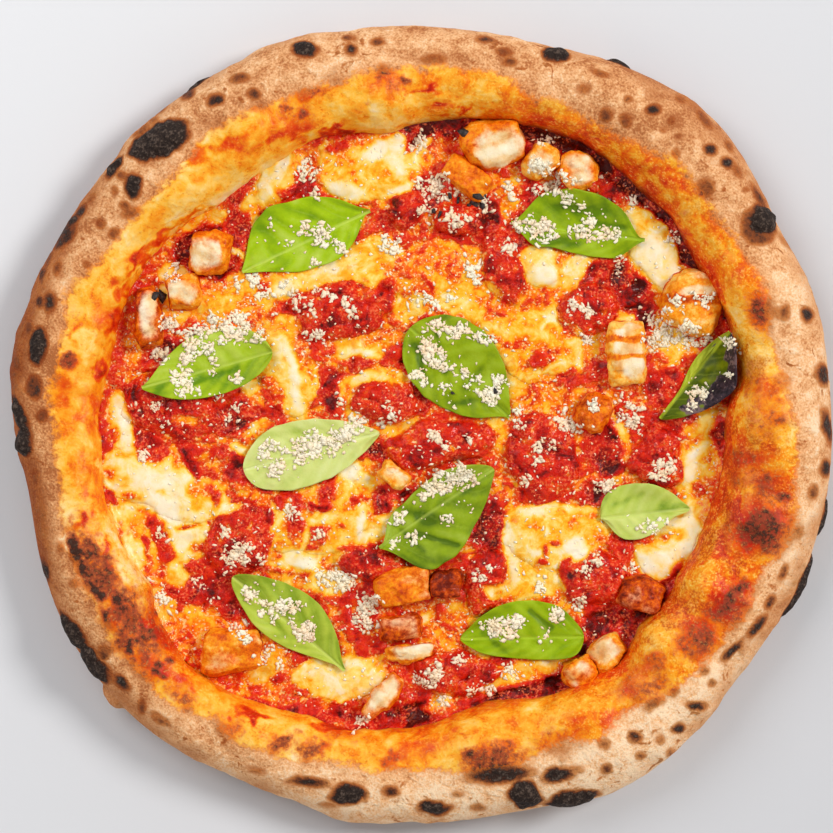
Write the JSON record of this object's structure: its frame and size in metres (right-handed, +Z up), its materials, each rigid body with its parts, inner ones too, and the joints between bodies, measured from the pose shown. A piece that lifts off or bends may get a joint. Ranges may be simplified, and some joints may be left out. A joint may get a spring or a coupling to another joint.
{
  "type": "margherita pizza",
  "caption": "Round wood-fired margherita pizza with a puffed, charred rim, tomato, melted mozzarella, basil leaves, grated cheese and breaded chicken pieces.",
  "frame": {"origin": "centre of the bounding box on the plane that the pizza lies on", "axes": "+Z up, +X to the right and +Y away as the pizza is seen from above in the picture"},
  "size_m": [0.3078, 0.299, 0.0299],
  "materials": {
    "baked_dough": "dry floured bread crust with toasted and charred blisters",
    "tomato_sauce": "wet, oily tomato sauce with melted cheese running through it",
    "melted_mozzarella": "soft melted cheese with an oily shine",
    "crushed_tomato": "wet crushed tomato flesh",
    "breaded_chicken": "golden fried breadcrumb coating, pale where it is cut",
    "basil_leaf": "fresh soft leaf with a faint sheen",
    "grated_parmesan": "dry, finely grated hard cheese"
  },
  "bodies": {
    "root": {"crust": "baked_dough", "tomato_sauce": "tomato_sauce", "mozzarella_1": "melted_mozzarella", "mozzarella_2": "melted_mozzarella", "mozzarella_3": "melted_mozzarella", "mozzarella_4": "melted_mozzarella", "mozzarella_5": "melted_mozzarella", "mozzarella_6": "melted_mozzarella", "mozzarella_7": "melted_mozzarella", "mozzarella_8": "melted_mozzarella", "mozzarella_9": "melted_mozzarella", "mozzarella_10": "melted_mozzarella", "mozzarella_11": "melted_mozzarella", "mozzarella_12": "melted_mozzarella", "tomato_1": "crushed_tomato", "tomato_2": "crushed_tomato", "tomato_3": "crushed_tomato", "tomato_4": "crushed_tomato", "tomato_5": "crushed_tomato", "tomato_6": "crushed_tomato", "tomato_7": "crushed_tomato", "tomato_8": "crushed_tomato", "tomato_9": "crushed_tomato", "tomato_10": "crushed_tomato", "tomato_11": "crushed_tomato", "tomato_12": "crushed_tomato", "tomato_13": "crushed_tomato", "tomato_14": "crushed_tomato", "tomato_15": "crushed_tomato", "chicken_1": "breaded_chicken", "chicken_2": "breaded_chicken", "chicken_3": "breaded_chicken", "chicken_4": "breaded_chicken", "chicken_5": "breaded_chicken", "chicken_6": "breaded_chicken", "chicken_7": "breaded_chicken", "chicken_8": "breaded_chicken", "chicken_9": "breaded_chicken", "chicken_10": "breaded_chicken", "chicken_11": "breaded_chicken", "chicken_12": "breaded_chicken", "chicken_13": "breaded_chicken", "chicken_14": "breaded_chicken", "chicken_15": "breaded_chicken", "chicken_16": "breaded_chicken", "chicken_17": "breaded_chicken", "chicken_18": "breaded_chicken", "chicken_19": "breaded_chicken", "chicken_20": "breaded_chicken", "basil_1": "basil_leaf", "basil_2": "basil_leaf", "basil_3": "basil_leaf", "basil_4": "basil_leaf", "basil_5": "basil_leaf", "basil_6": "basil_leaf", "basil_7": "basil_leaf", "basil_8": "basil_leaf", "basil_9": "basil_leaf", "basil_10": "basil_leaf"}
  },
  "joints": []
}
